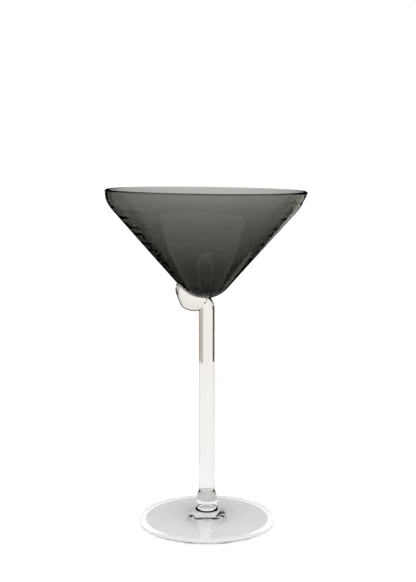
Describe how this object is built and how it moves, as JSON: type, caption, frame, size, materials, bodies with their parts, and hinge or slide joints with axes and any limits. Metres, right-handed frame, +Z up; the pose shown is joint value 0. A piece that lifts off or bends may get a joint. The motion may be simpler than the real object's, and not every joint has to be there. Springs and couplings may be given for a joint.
{
  "type": "martini glass",
  "caption": "Hand-blown cocktail glass: conical smoke-grey bowl with a turned-up lip on a clear solid stem, with a curl under the bowl, a bead and a round foot.",
  "frame": {"origin": "centre of the foot's underside, on the surface that the glass stands on", "axes": "+Z up along the common axis of foot, stem and bowl; the curl under the bowl points along -X, so XZ is the mirror plane"},
  "size_m": [0.11, 0.11, 0.187],
  "materials": {
    "smoke_glass": "clear, polished, smoke-grey tint",
    "clear_glass": "clear, fire-polished"
  },
  "bodies": {
    "root": {"bowl": "smoke_glass", "stem": "clear_glass", "curl": "clear_glass", "bead": "clear_glass", "foot": "clear_glass"}
  },
  "joints": []
}
